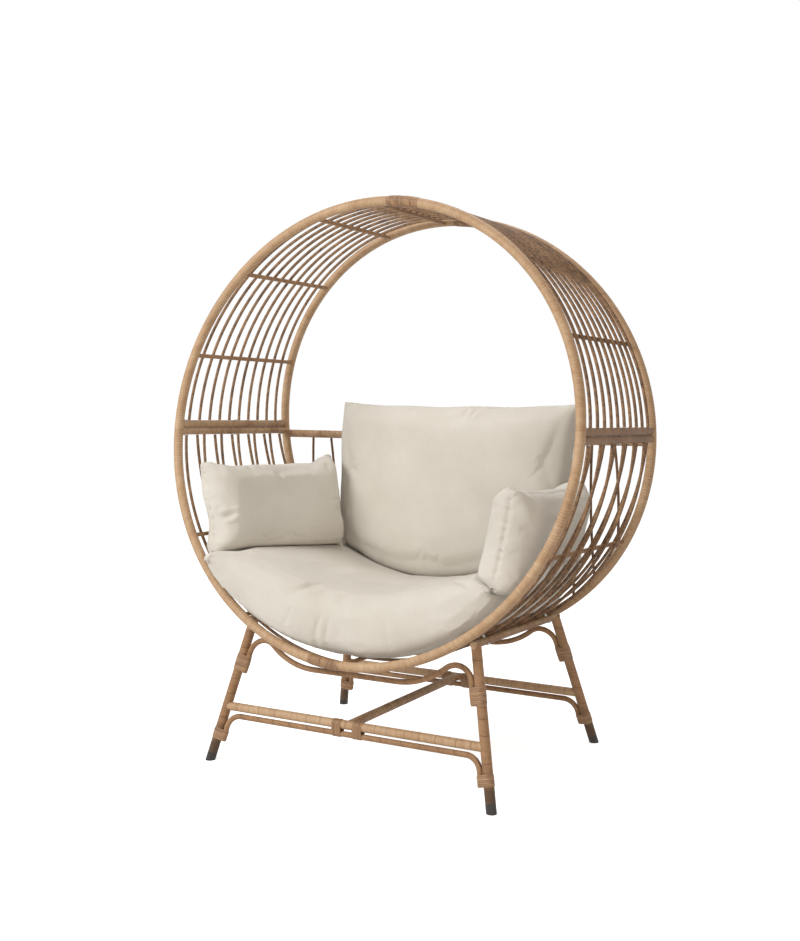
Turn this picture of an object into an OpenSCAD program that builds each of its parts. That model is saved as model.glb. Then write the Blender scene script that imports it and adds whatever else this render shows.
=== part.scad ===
// Round egg chair: a wide cane drum, open at the front, on a splayed four-legged stand.
// Millimetres, +Z up. The drum opens towards -Y, and the origin lies on the floor
// under the middle of the stand. Left is -X.
// The drum is two half drums bolted together at mid height. Its two hoops tilt towards
// each other at the top, so that the drum is a wedge, and the whole drum leans back a little.

/* [Drum] */
// Radius of both hoops, to the middle of the cane
hoop_r = 645; // [620:5:670]
// Thickness of the hoop canes
hoop_d = 27; // [25:0.5:30]
// Depth of the drum at mid height, between the hoops' middles
drum_depth = 555; // [520:5:600]
// Tilt of each hoop away from the drum's middle plane, in degrees
hoop_tilt = 6.6; // [5:0.2:7.6]
// Lean of the whole drum to the rear, in degrees
recline = 1.6; // [0:0.2:3]
// Height above the floor of the drum's lowest point, on the hoops' middles
drum_height = 312; // [300:1:345]
// How far the drum's middle lies behind the stand's middle
drum_setback = 20; // [10:1:30]

/* [Slats] */
// Number of slats in the upper half
upper_slats = 10; // [8:2:12]
// Number of slats in the lower half, every other one inside the crossbars
lower_slats = 12; // [8:2:14]
// Thickness of a slat
slat_d = 9; // [7:0.5:10]
// How far outside the hoop circle the outer slats run
slat_lift = 5; // [3:0.5:6]

/* [Crossbars and rails] */
// Thickness of a crossbar
bar_d = 12; // [10:0.5:13]
// Height angle of the upper half's lowest crossbars
upper_bar_angle = 22; // [19:1:24]
// Angle from one upper crossbar to the next
upper_bar_pitch = 25; // [22:0.5:26]
// How much higher the right-hand bar of the lowest pair is tied than the left-hand one
bar_skew = 4; // [0:0.5:5]
// Depth angle of the lower half's first crossbars
lower_bar_angle = 30; // [25:1:35]
// Depth angle of the crossbars and bearers that carry the drum
seat_bar_angle = 57; // [54:1:60]
// Thickness of the rails along the joint of the two halves
side_rail_d = 22; // [20:1:24]
// Thickness of the rail across the back
back_rail_d = 25; // [20:1:28]
// How far the back rail lies below the middle of the rear hoop
back_rail_drop = 22; // [18:1:40]
// Number of slats under the back rail
back_slats = 16; // [10:2:18]
// Spacing of the back slats
back_slat_pitch = 71; // [50:1:72]
// Thickness of a back slat
back_slat_d = 8; // [6:0.5:10]
// How far each back slat bows to the side
back_slat_bow = 8; // [4:1:12]

/* [Stand] */
// Thickness of the legs
leg_d = 28; // [26:0.5:32]
// Half the distance between the left and right feet
foot_x = 455; // [430:5:480]
// Half the distance between the front and rear feet
foot_y = 362; // [340:2:390]
// Half the distance between the front and rear leg tops
leg_top_y = 267; // [250:1:285]
// Thickness of the bearers on the leg tops
bearer_d = 20; // [18:1:24]
// Height of the stretchers' middles
stretcher_height = 157; // [140:1:180]
// Thickness of the stretchers
stretcher_d = 25; // [22:1:27]
// Thickness of the thin bent rods
rod_d = 16; // [12:1:18]
// Distance from a stretcher's middle down to the rod under it
low_rod_drop = 25.5; // [23:0.5:30]
// Bend radius of the low rods
low_rod_bend = 45; // [35:1:50]
// How far the cradle rods' middles lie below the drum's lowest point
cradle_drop = 22; // [20:1:37]
// How high the cradle rods' arches beside the legs rise above the rods
cradle_arch_rise = 62; // [50:1:66]
// Bend radius of the arches
cradle_arch_bend = 50; // [40:1:55]
// Bend radius of the sweep that leads up to an arch
cradle_sweep_bend = 230; // [180:5:240]
// Height of the foot glides, along the leg
glide_h = 24; // [18:1:40]

/* [Cushions] */
// Thickness of the seat cushion in its middle
seat_t = 166; // [120:2:180]
// How much wider the seat cushion's hollow top curves than its bottom
seat_flare = 20.6; // [10:0.2:80]
// Half the arc that the seat cushion covers, in degrees
seat_half_arc = 48; // [46:0.5:50]
// How far the seat cushion has slid round to the left, in degrees
seat_slide = 2; // [0:0.5:3]
// Width of the back cushion
back_w = 810; // [700:2:830]
// How far the back cushion is pushed over to the right
back_shift = 43; // [0:1:45]
// Height of the back cushion's top edge above the floor
back_top = 1036; // [980:2:1060]
// Thickness of the back cushion
back_t = 128; // [90:2:136]
// Lean of the back cushion, in degrees
back_lean = 7; // [5:0.5:9]
// Length of the side pillows
pillow_l = 446; // [340:2:450]
// Height of the side pillows
pillow_h = 260; // [200:2:260]
// Thickness of the side pillows
pillow_t = 126; // [90:2:130]
// Outward lean of the side pillows, in degrees
pillow_lean = 12; // [10:0.5:14]

/* [Fasteners and fits] */
// Diameter of the bolts and screws
bolt_d = 6; // [5:0.5:6]
// Thickness of a bolt head and of a nut
head_h = 4; // [3:0.5:5]
// Gap between canes that are bound against each other
fit = 0.2; // [0.1:0.05:0.3]
// Thickness of the cane bindings
wrap_t = 2; // [1.5:0.5:3]
// Gap between a cushion and what it rests on
cushion_gap = 0.55; // [0.5:0.05:1]

/* [Hidden] */
$fn = 48;
ring_fn = 240; // steps in a full turn of a bent cane
FRONT = -1;
REAR = 1;
LEFT = -1;
RIGHT = 1;
cane_colour = [0.72, 0.55, 0.38];
dark_cane_colour = [0.58, 0.42, 0.28];
cloth_colour = [0.87, 0.84, 0.78];
steel_colour = [0.6, 0.6, 0.6];
glide_colour = [0.16, 0.12, 0.1];

half_depth = drum_depth / 2;
axis_height = drum_height + hoop_r;
cradle_height = drum_height - cradle_drop;
cradle_arch_height = cradle_height + cradle_arch_rise;
cut = 200; // length that is sure to reach past a cane

// Circles that the canes of the drum follow beside a hoop, from the outside in
slat_r = hoop_r + slat_lift;
bearer_r = slat_r + (slat_d + bearer_d) / 2 + 2 * fit;
bar_r = slat_r - (slat_d + bar_d) / 2 - fit;
inner_slat_r = bar_r - (bar_d + slat_d) / 2 - fit;
cushion_r = (inner_slat_r - slat_d / 2) * cos(hoop_tilt) - cushion_gap;
seat_top_r = cushion_r + seat_flare;

// Height of the upper side rail's middle above the joint, and the place of its far side
rail_z = side_rail_d / 2 + fit / 2;
rail_top = side_rail_d + fit / 2;

// ---- Drum geometry ----

// Turn of the ring at depth u about X, where u runs from -1 at the front hoop to 1 at the rear one
function ring_turn(u) = asin(u * sin(hoop_tilt));
// Half the drum's depth along the line of a bar at radius r and angle a
function half_span(r, a) = half_depth - r * sin(a) * sin(hoop_tilt);
// Place on the drum's cross-section of a straight bar at radius r and angle a
function bar_x(r, a) = r * cos(a);
function bar_z(r, a) = r * sin(a) * cos(hoop_tilt);
// The bars run straight from hoop to hoop, so a ring between the hoops, which is tilted less,
// is flattened by this much at its top or bottom to lie on them
function flattening(u) = slat_r * (1 - cos(hoop_tilt) / cos(ring_turn(u)));
// A point given in the drum's own frame, in the frame of the chair
function from_drum(p) = [
    p.x,
    drum_setback + p.y * cos(recline) + p.z * sin(recline),
    axis_height - p.y * sin(recline) + p.z * cos(recline)
];
// Middle of the bearer on the drum's own cross-section
bearer_x = bar_x(bearer_r, -seat_bar_angle);
bearer_z = bar_z(bearer_r, -seat_bar_angle);
// Depth in the drum's frame of a point on the bearer that lies at depth y in the chair's frame
function bearer_depth(y) = (y - drum_setback - bearer_z * sin(recline)) / cos(recline);
// Place of a leg top, on the bearer's middle line
function leg_top(side, end) = from_drum([side * bearer_x, bearer_depth(end * leg_top_y), bearer_z]);
function leg_foot(side, end) = [side * foot_x, end * foot_y, 0];

module in_drum() {
    translate([0, drum_setback, axis_height]) rotate([-recline, 0, 0]) children();
}

// Frame of the ring at depth u: X across, Z up in the ring's plane, Y square to it
module in_ring(u) {
    in_drum() translate([0, u * half_depth, 0]) rotate([ring_turn(u), 0, 0]) children();
}

// Cane that follows a circle of radius r in the XZ plane, from angle a0 to a1, from +X upwards
module arc_cane(r, d, a0, a1) {
    rotate([90, 0, 0]) rotate([0, 0, a0])
        rotate_extrude(angle = a1 - a0, $fn = ring_fn) translate([r, 0]) circle(d = d, $fn = 48);
}

module both_sides() {
    children();
    mirror([1, 0, 0]) children();
}

// Straight cane along Y
module y_cane(d, length) {
    rotate([90, 0, 0]) cylinder(d = d, h = length, center = true);
}

// Children with their Z axis from p towards q
module aim(p, q) {
    v = q - p;
    translate(p) rotate([0, acos(v.z / norm(v)), atan2(v.y, v.x)]) children();
}

// Both hoops, grown by the fit, near angle a: what is cut off the end of a cane that meets them
module hoop_seats(a) {
    for (u = [FRONT, REAR])
        in_ring(u) arc_cane(hoop_r, hoop_d + 2 * fit, a - 7, a + 4);
}

// Growth rings in the canes, where a bend begins: their size against the cane's thickness, their
// length, and how far inside one a bend ends, in millimetres and as an angle at unit radius
knot_size = 1.02;
knot_l = 3;
knot_gap = 0.5;
knot_turn = knot_gap * 180 / PI;

// Growth ring round the origin of a cane that runs along X
module knot(d) {
    rotate([0, 90, 0]) cylinder(d = d * knot_size, h = knot_l, center = true);
}

// ---- Hoops, rails and crossbars ----

module half_hoop(u, a0) {
    color(cane_colour) in_ring(u) arc_cane(hoop_r, hoop_d, a0, a0 + 180);
}

// Spots that bolt heads and nuts lie in: their width, and their depths in a rail or bearer and in a bar
head_w = 2 * bolt_d;
spot_d = head_w + 3;
spot_depth = 2;
bar_spot_depth = 1.5;

// Depths of the three bolts along a rail, the outer ones this far from the hoops
rail_bolt_inset = 15;
rail_bolt_depths = [-1, 0, 1] * (half_depth - hoop_d / 2 - rail_bolt_inset);
// Height of a bolt head's seat above a rail's middle
rail_spot = side_rail_d / 2 - spot_depth;

// Rail along the joint: up is 1 on the upper half and -1 on the lower half
module side_rail(side, up) {
    color(dark_cane_colour) difference() {
        in_drum() translate([side * hoop_r, 0, up * rail_z]) difference() {
            y_cane(side_rail_d, drum_depth);
            for (y = rail_bolt_depths) translate([0, y, 0]) {
                cylinder(d = bolt_d + 2 * fit, h = cut, center = true);
                translate([0, 0, up > 0 ? rail_spot : -rail_spot - cut])
                    cylinder(d = spot_d, h = cut);
            }
        }
        hoop_seats(side > 0 ? 0 : 180);
    }
}

// Straight bar from hoop to hoop, inside the outer slats, at angle a
module crossbar(a) {
    color(dark_cane_colour) difference() {
        in_drum() translate([bar_x(bar_r, a), 0, bar_z(bar_r, a)])
            y_cane(bar_d, 2 * half_span(bar_r, a) - hoop_d / 2);
        hoop_seats(a);
    }
}

// Angle of upper bar k above the joint, on one side
function upper_bar(k, side) = upper_bar_angle + k * upper_bar_pitch + side * bar_skew / 2 * (1 - k / 2);

module upper_crossbars() {
    for (k = [0:2]) {
        crossbar(upper_bar(k, RIGHT));
        crossbar(180 - upper_bar(k, LEFT));
    }
    crossbar(90);
}

module lower_crossbars() {
    for (a = [lower_bar_angle, 90, 180 - lower_bar_angle]) crossbar(-a);
    for (side = [LEFT, RIGHT]) difference() {
        crossbar(side > 0 ? -seat_bar_angle : seat_bar_angle - 180);
        bearer_bolt_holes(side);
    }
}

// ---- Slats ----

// A flattened ring is drawn as a slightly wider circle that is shifted towards the joint.
// These shares of its flattening keep it closest to the bars, outside or inside them.
outer_widening = 0.47;
outer_shift = 1.37;
inner_widening = 0.5;
inner_shift = 1.5;

function slat_depth(k, count) = -1 + 2 * k / (count + 1);

// Half a ring over the top that ends at angle a on both sides, in two lengths with a knot between
module half_ring(r, a) {
    translate([0, 0, r]) knot(slat_d);
    both_sides() arc_cane(r, slat_d, a, 90 - knot_turn / r);
}

// Half ring outside the bars, from rail to rail
module outer_slat(u) {
    flat = flattening(u);
    r = slat_r + outer_widening * flat;
    end = asin((rail_top + fit + outer_shift * flat) / (r - slat_d / 2));
    translate([0, 0, -outer_shift * flat]) half_ring(r, end);
}

// Half ring that starts at the rails but lies inside the bars. At each first bar its circle
// gives way to a wider arc that flares out to the rail, with a knot where the two meet.
module inner_slat(u) {
    flat = flattening(u);
    r = inner_slat_r + inner_widening * flat;
    shift = inner_shift * flat;
    start = [hoop_r - 2, rail_top + fit + 1 + shift];
    way = [cos(lower_bar_angle), sin(lower_bar_angle)];
    flare = (start * start - r ^ 2) / (2 * (start * way - r));
    end = atan2(start.y - flare * way.y, start.x - flare * way.x);
    gap = knot_turn / r;
    translate([0, 0, -shift]) {
        half_ring(r, lower_bar_angle + gap);
        both_sides() {
            translate([r * way.x, 0, r * way.y]) rotate([0, 90 - lower_bar_angle, 0]) knot(slat_d);
            translate([flare * way.x, 0, flare * way.y])
                arc_cane(r - flare, slat_d, end, lower_bar_angle - gap);
        }
    }
}

module upper_slat(k) {
    u = slat_depth(k, upper_slats);
    color(cane_colour) in_ring(u) outer_slat(u);
}

module lower_slat(k) {
    u = slat_depth(k, lower_slats);
    color(cane_colour) in_ring(u) mirror([0, 0, 1])
        if (k % 2 == 0) inner_slat(u);
        else outer_slat(u);
}

// ---- Back panel, in the plane of the rear hoop ----

module back_rail() {
    color(dark_cane_colour) difference() {
        in_ring(REAR) translate([0, 0, -back_rail_drop]) rotate([0, 90, 0])
            cylinder(d = back_rail_d, h = 2 * (hoop_r - side_rail_d / 2 - fit), center = true);
        for (a = [0, 180]) hoop_seats(a);
    }
}

back_slat_top = -back_rail_drop - back_rail_d / 2 - 2 * fit;

// Slat at x, bowed towards the side that bow points to
module back_slat(x, bow) {
    foot = -sqrt(hoop_r ^ 2 - x ^ 2);
    half = (back_slat_top - foot) / 2;
    r = (half ^ 2 + back_slat_bow ^ 2) / (2 * back_slat_bow);
    turn = asin(half / r);
    translate([x, 0, foot + half]) rotate([0, 0, bow > 0 ? 0 : 180])
        translate([back_slat_bow - r, 0, 0]) arc_cane(r, back_slat_d, -turn, turn - fit / r);
}

module back_slats() {
    color(dark_cane_colour) in_ring(REAR) difference() {
        for (k = [0:back_slats - 1])
            back_slat((k - (back_slats - 1) / 2) * back_slat_pitch, k % 2 == 0 ? -1 : 1);
        arc_cane(hoop_r, hoop_d + 2 * fit, 180, 360);
    }
}

// ---- Stand ----

module on_leg(side, end) {
    aim(leg_foot(side, end), leg_top(side, end)) children();
}

function leg_length(end) = norm(leg_top(RIGHT, end) - leg_foot(RIGHT, end));

glide_spigot_d = 12;
glide_spigot_h = 20;
screw_l = 55;
screw_head_d = 11;

// The leg ends in a saddle round the bearer, and is bored for its glide and its screw
module leg(side, end) {
    length = leg_length(end);
    color(cane_colour) difference() {
        on_leg(side, end) difference() {
            translate([0, 0, glide_h]) cylinder(d = leg_d, h = length - glide_h);
            translate([0, 0, glide_h - 1]) cylinder(d = glide_spigot_d + 2 * fit, h = glide_spigot_h + 2);
            translate([0, 0, length - screw_l - 1]) cylinder(d = bolt_d + fit, h = screw_l + 1);
        }
        bearer_line(side, bearer_d + 2 * fit);
    }
}

// Round bar on the line of a bearer, a little longer than the bearer itself
module bearer_line(side, d) {
    ends = [for (end = [FRONT, REAR]) bearer_depth(end * (leg_top_y + leg_d / 2 + 2))];
    in_drum() translate([side * bearer_x, (ends[0] + ends[1]) / 2, bearer_z])
        y_cane(d, ends[1] - ends[0]);
}

module bearer(side) {
    color(dark_cane_colour) difference() {
        bearer_line(side, bearer_d);
        bearer_bolt_holes(side);
        for (end = [FRONT, REAR]) on_leg(side, end) translate([0, 0, leg_length(end)]) {
            cylinder(d = bolt_d + fit, h = cut, center = true);
            translate([0, 0, screw_seat]) cylinder(d = screw_head_d + 2 * fit, h = cut);
        }
    }
}

// Height of a leg screw's head seat above the bearer's middle
screw_seat = bearer_d / 2 - head_h - 1;

module leg_screws() {
    color(steel_colour) for (side = [LEFT, RIGHT], end = [FRONT, REAR])
        on_leg(side, end) translate([0, 0, leg_length(end)]) {
            translate([0, 0, screw_seat]) cylinder(d = screw_head_d, h = head_h);
            translate([0, 0, 2 - screw_l]) cylinder(d = bolt_d, h = screw_l - 2 + screw_seat);
        }
}

// A plastic glide carries on the leg's line, is cut flat on the floor and plugs into the leg
module foot_glides() {
    color(glide_colour) for (side = [LEFT, RIGHT], end = [FRONT, REAR]) difference() {
        on_leg(side, end) rotate([0, 0, 45]) rotate_extrude() polygon([
            [0, -leg_d], [leg_d / 2, -leg_d], [leg_d / 2, glide_h], [glide_spigot_d / 2, glide_h],
            [glide_spigot_d / 2, glide_h + glide_spigot_h], [0, glide_h + glide_spigot_h]
        ]);
        translate([side * foot_x, end * foot_y, -cut / 2]) cube([cut, cut, cut], center = true);
    }
}

// Lean of the plane that holds the two front or the two rear legs, and a leg's slope in it
function plane_lean(end) = atan2(foot_y - leg_top_y, leg_top(RIGHT, end).z);
function leg_slope(end) = atan2(foot_x - bearer_x, leg_length_in_plane(end));
function leg_length_in_plane(end) = norm([foot_y - leg_top_y, leg_top(RIGHT, end).z]);
// Distance of a leg's middle from the chair's middle, at distance s up its plane
function leg_x(end, s) = foot_x - s * tan(leg_slope(end));
// Distance up the leg plane of a point at height z
function up_plane(end, z) = z / cos(plane_lean(end));
// Distance between a leg and a rod that is bound along it
rod_offset = (leg_d + rod_d) / 2 + fit;
// Place of such a rod at distance s up the plane
function bound_rod_x(end, s) = leg_x(end, s) - rod_offset / cos(leg_slope(end));

// Frame of a leg plane: X across, Z up along the plane
module in_leg_plane(end) {
    translate([0, end * foot_y, 0]) rotate([end * plane_lean(end), 0, 0]) children();
}

module leg_lines(end, d) {
    for (side = [LEFT, RIGHT]) on_leg(side, end) cylinder(d = d, h = leg_length(end));
}

module stretcher(end) {
    s = up_plane(end, stretcher_height);
    color(cane_colour) difference() {
        in_leg_plane(end) translate([0, 0, s]) rotate([0, 90, 0])
            cylinder(d = stretcher_d, h = 2 * leg_x(end, s), center = true);
        leg_lines(end, leg_d + 2 * fit);
    }
}

function stretcher_y(end) = end * (foot_y - stretcher_height * tan(plane_lean(end)));

module centre_stretcher() {
    color(dark_cane_colour) difference() {
        translate([0, (stretcher_y(FRONT) + stretcher_y(REAR)) / 2, stretcher_height])
            y_cane(stretcher_d, stretcher_y(REAR) - stretcher_y(FRONT));
        for (end = [FRONT, REAR]) translate([0, stretcher_y(end), stretcher_height])
            rotate([0, 90, 0]) cylinder(d = stretcher_d + 2 * fit, h = cut, center = true);
    }
}

// Cane bent in the XZ plane, from the origin along +X. A step is [length, 0] for a straight
// stretch or [radius, angle] for a bend, upwards where the angle is positive. Each step
// starts with a knot and stays short of the next one.
module bent_cane(d, steps, i = 0) {
    size = steps[i][0];
    angle = steps[i][1];
    way = sign(angle);
    last = i == len(steps) - 1;
    turn = abs(angle) - knot_turn / size;
    knot(d);
    if (angle == 0) rotate([0, 90, 0]) cylinder(d = d, h = last ? size : size - knot_gap);
    else translate([0, 0, way * size])
        arc_cane(size, d, angle > 0 ? -90 : 90 - turn, angle > 0 ? turn - 90 : 90);
    if (!last)
        translate(angle == 0 ? [size, 0, 0] : [size * sin(abs(angle)), 0, way * size * (1 - cos(angle))])
            rotate([0, -angle, 0]) bent_cane(d, steps, i + 1);
}

// Rod along X that is straight up to the distance half each way and bent beyond
module bent_rod(half, steps) {
    rotate([0, 90, 0]) cylinder(d = rod_d, h = 2 * (half - knot_gap), center = true);
    both_sides() translate([half, 0, 0]) bent_cane(rod_d, steps);
}

low_rod_tail = 38;
cradle_tail = 62;

// Thin rod under a stretcher, bent down at both ends and bound along the legs
module low_rod(end) {
    s = up_plane(end, stretcher_height) - low_rod_drop;
    turn = 90 - leg_slope(end);
    bend_end = s - low_rod_bend * (1 - cos(turn));
    straight = bound_rod_x(end, bend_end) - low_rod_bend * sin(turn);
    color(dark_cane_colour) in_leg_plane(end) translate([0, 0, s])
        bent_rod(straight, [[low_rod_bend, -turn], [low_rod_tail, 0]]);
}

// Thin rod under the drum that sweeps up into an arch beside each leg and comes down along it
module cradle_rod(end) {
    s = up_plane(end, cradle_height);
    rise = up_plane(end, cradle_arch_height) - s;
    both_bends = cradle_sweep_bend + cradle_arch_bend;
    sweep = acos(1 - rise / both_bends);
    turn = 90 - leg_slope(end);
    arch_end = s + rise - cradle_arch_bend * (1 - cos(turn));
    arch_x = bound_rod_x(end, arch_end) - cradle_arch_bend * sin(turn);
    straight = arch_x - both_bends * sin(sweep);
    color(dark_cane_colour) in_leg_plane(end) translate([0, 0, s])
        bent_rod(straight, [
            [cradle_sweep_bend, sweep], [cradle_arch_bend, -sweep - turn], [cradle_tail, 0]
        ]);
}

// ---- Bolts ----

// Bolt with a hex head below z = 0 and its shank up to the given length
module bolt(length) {
    translate([0, 0, -head_h]) cylinder(d = head_w, h = head_h, $fn = 6);
    cylinder(d = bolt_d, h = length);
}

module nut() {
    difference() {
        cylinder(d = head_w, h = head_h, $fn = 6);
        translate([0, 0, -1]) cylinder(d = bolt_d + fit, h = head_h + 2);
    }
}

// Frames of the rail bolts, with Z up from the lower head's seat
module at_rail_bolts() {
    for (side = [LEFT, RIGHT], y = rail_bolt_depths)
        in_drum() translate([side * hoop_r, y, -rail_z - rail_spot]) children();
}

module rail_bolts() {
    color(steel_colour) at_rail_bolts() bolt(2 * (rail_z + rail_spot) + head_h);
}

// A bearer bolt passes between two slats, through the bearer and the seat crossbar
bearer_bolt_gap = 3;
bearer_bolt_depth = (1 - (2 * bearer_bolt_gap - 1) / (lower_slats + 1)) * half_span(slat_r, -seat_bar_angle);
bearer_spot = bearer_d / 2 - spot_depth;
bar_spot = bar_d / 2 - bar_spot_depth;

module at_bearer_bolt(side, way) {
    y = way * bearer_bolt_depth;
    aim(
        from_drum([side * bearer_x, y, bearer_z]),
        from_drum([side * bar_x(bar_r, -seat_bar_angle), y, bar_z(bar_r, -seat_bar_angle)])
    ) children();
}

bearer_to_bar = norm([
    bearer_x - bar_x(bar_r, -seat_bar_angle),
    bearer_z - bar_z(bar_r, -seat_bar_angle)
]);

module bearer_bolt_holes(side) {
    for (way = [FRONT, REAR]) at_bearer_bolt(side, way) {
        cylinder(d = bolt_d + 2 * fit, h = cut, center = true);
        translate([0, 0, -bearer_spot - cut]) cylinder(d = spot_d, h = cut);
        translate([0, 0, bearer_to_bar + bar_spot]) cylinder(d = spot_d, h = cut);
    }
}

module bearer_bolts() {
    color(steel_colour) for (side = [LEFT, RIGHT], way = [FRONT, REAR])
        at_bearer_bolt(side, way) translate([0, 0, -bearer_spot])
            bolt(bearer_spot + bearer_to_bar + bar_spot + head_h);
}

module nuts() {
    color(steel_colour) {
        at_rail_bolts() translate([0, 0, 2 * (rail_z + rail_spot)]) nut();
        for (side = [LEFT, RIGHT], way = [FRONT, REAR])
            at_bearer_bolt(side, way) translate([0, 0, bearer_to_bar + bar_spot]) nut();
    }
}

// ---- Cane bindings ----

// Sleeve of wound cane round a hoop, over the given arc
module hoop_binding(u, a0, a1) {
    in_ring(u) difference() {
        arc_cane(hoop_r, hoop_d + 2 * (fit + wrap_t), a0, a1);
        arc_cane(hoop_r, hoop_d + 2 * fit, a0 - 1, a1 + 1);
    }
}

// Where the bindings start, at the hoops' tops and at the front hoop's bottom
top_binding_angle = 78;
low_binding_angle = -100;
hoop_binding_arc = 9;

module hoop_bindings() {
    color(cane_colour) {
        for (u = [FRONT, REAR]) hoop_binding(u, top_binding_angle, top_binding_angle + hoop_binding_arc);
        hoop_binding(FRONT, low_binding_angle, low_binding_angle + hoop_binding_arc);
    }
}

// How far a pair binding's flat sides lie inside the lines that touch both of its rounds
side_tuck = 0.2;

// Outline round two circles of diameters d1 and d2, the second one at distance x, grown by g
module pair_outline(d1, d2, x, g) {
    r1 = d1 / 2 + g;
    r2 = d2 / 2 + g;
    a = acos((r1 - r2) / x);
    tucked1 = (r1 - side_tuck) * [cos(a), sin(a)];
    tucked2 = (r2 - side_tuck) * [cos(a), sin(a)];
    circle(r = r1);
    translate([x, 0]) circle(r = r2);
    polygon([
        [tucked1.x, tucked1.y], [tucked1.x, -tucked1.y],
        [x + tucked2.x, -tucked2.y], [x + tucked2.x, tucked2.y]
    ]);
}

// Sleeve of wound cane round two canes that lie along Z
module pair_binding(d1, d2, x, length) {
    linear_extrude(length) difference() {
        pair_outline(d1, d2, x, wrap_t + fit);
        circle(d = d1 + 2 * fit);
        translate([x, 0]) circle(d = d2 + 2 * fit);
    }
}

// Bindings that hold the rods' tails to a leg, from distance s up the leg plane
module leg_binding(end, s, length) {
    in_leg_plane(end) both_sides()
        translate([leg_x(end, s), 0, s]) rotate([0, -leg_slope(end), 0]) rotate([0, 0, 180])
            pair_binding(leg_d, rod_d, rod_offset, length);
}

// Distance up the leg plane at which a rod's bend ends
function low_bend_end(end) =
    up_plane(end, stretcher_height) - low_rod_drop - low_rod_bend * (1 - sin(leg_slope(end)));
function arch_bend_end(end) =
    up_plane(end, cradle_arch_height) - cradle_arch_bend * (1 - sin(leg_slope(end)));

low_binding_l = 32;
cradle_binding_l = 48;
// How far below the end of a bend the binding starts
low_binding_gap = 4;
cradle_binding_gap = 6;

module leg_bindings() {
    color(cane_colour) for (end = [FRONT, REAR]) {
        leg_binding(end, low_bend_end(end) - low_binding_l - low_binding_gap, low_binding_l);
        leg_binding(end, arch_bend_end(end) - cradle_binding_l - cradle_binding_gap, cradle_binding_l);
    }
}

stretcher_binding_l = 30;
stretcher_binding_gap = 6;
// Where the bindings start, on both sides of the centre stretcher
stretcher_binding_x = [
    -stretcher_d / 2 - stretcher_binding_gap - stretcher_binding_l,
    stretcher_d / 2 + stretcher_binding_gap
];

// Bindings that tie the low rods to the stretchers
module stretcher_bindings() {
    color(cane_colour) for (end = [FRONT, REAR], x = stretcher_binding_x)
        in_leg_plane(end) translate([x, 0, up_plane(end, stretcher_height)]) rotate([0, 90, 0])
            pair_binding(stretcher_d, rod_d, low_rod_drop, stretcher_binding_l);
}

// ---- Cushions ----

// Closed cushion of two skins that meet along an outline. point(u, v, skin) gives a point of
// the skin 1 or -1, with u and v from -1 to 1; both skins share the outline.
module cushion(nu, nv, point) {
    columns = nu + 1;
    first_back = columns * (nv + 1);
    function place(i, n) = -cos(180 * i / n);
    function front(i, j) = j * columns + i;
    function back(i, j) = (i % nu == 0 || j % nv == 0) ? front(i, j)
        : first_back + (j - 1) * (nu - 1) + i - 1;
    points = concat(
        [for (j = [0:nv], i = [0:nu]) point(place(i, nu), place(j, nv), 1)],
        [for (j = [1:nv - 1], i = [1:nu - 1]) point(place(i, nu), place(j, nv), -1)]
    );
    // The two triangles of a cell, whose diagonal points out to a corner of the outline
    function triangles(i, j) = (i < nu / 2) == (j < nv / 2)
        ? [[[i, j], [i, j + 1], [i + 1, j + 1]], [[i, j], [i + 1, j + 1], [i + 1, j]]]
        : [[[i, j], [i, j + 1], [i + 1, j]], [[i + 1, j], [i, j + 1], [i + 1, j + 1]]];
    faces = [for (j = [0:nv - 1], i = [0:nu - 1], corners = triangles(i, j)) each [
        [for (k = [0:2]) front(corners[k].x, corners[k].y)],
        [for (k = [2:-1:0]) back(corners[k].x, corners[k].y)]
    ]];
    polyhedron(points, faces, convexity = 6);
}

// Share of its full thickness that a cushion has at u, v: full in the middle, none at the outline.
// A higher power keeps the middle flatter and turns down closer to the outline.
function fullness(u, v, pu, pv) = ((1 - abs(u) ^ pu) * (1 - abs(v) ^ pv)) ^ edge_power;

// How far the outline is drawn in halfway between two corners, as a share of the size
draw_in = 0.03;

// A cushion's edges fall off with this power; it gives them a blunt, stuffed shape
edge_power = 0.4;

// The seat cushion's hollow top: distance from the drum's axis at angle a from the lowest point
seat_top_middle = seat_top_r - (cushion_r - seat_t);
function seat_top(a) = sqrt(seat_top_r ^ 2 - (seat_top_middle * sin(a)) ^ 2) - seat_top_middle * cos(a);
// How far the seat cushion's seam lies above its bottom
seat_seam_rise = 45;
seat_seam_r = cushion_r - seat_seam_rise;
// How far the cushion stays behind the front hoop, and how much less so at its left end,
// where it bulges out over the hoop
seat_front_inset = 6;
seat_left_bulge = 60;
seat_rear_inset = 34;
// How much thinner the cushion's top is at its two ends, as a share
seat_end_thinning = 0.45;

// The seat cushion lies in the drum's bottom; u runs across it and v from front to rear
module seat_cushion() {
    point = function (u, v, skin)
        let (
            a = seat_half_arc * u,
            full = fullness(u, v, 14, 10),
            above = (seat_seam_r - seat_top(a)) * (1 - seat_end_thinning * u ^ 6),
            below = cushion_r - seat_seam_r,
            r = seat_seam_r - (skin > 0 ? above : -below) * full,
            inset = v > 0 ? seat_rear_inset : seat_front_inset - seat_left_bulge * max(0, -u),
            y = v * (half_span(seat_seam_r, a - 90) - inset) * (1 - draw_in * (1 - u ^ 2))
        )
        [r * sin(a), y, -r * cos(a)];
    color(cloth_colour) in_drum() rotate([0, seat_slide, 0]) cushion(36, 16, point);
}

// Depth of the back cushion's middle at height z, leaning against the back rail
back_rail_z = from_drum([0, half_depth, -back_rail_drop]).z;
back_rail_front = from_drum([0, half_depth, -back_rail_drop]).y
    + back_rail_drop * sin(hoop_tilt) - back_rail_d / 2;
function back_y(z) = back_rail_front - back_t / 2 - 2 * cushion_gap + (z - back_rail_z) * tan(back_lean);
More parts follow.
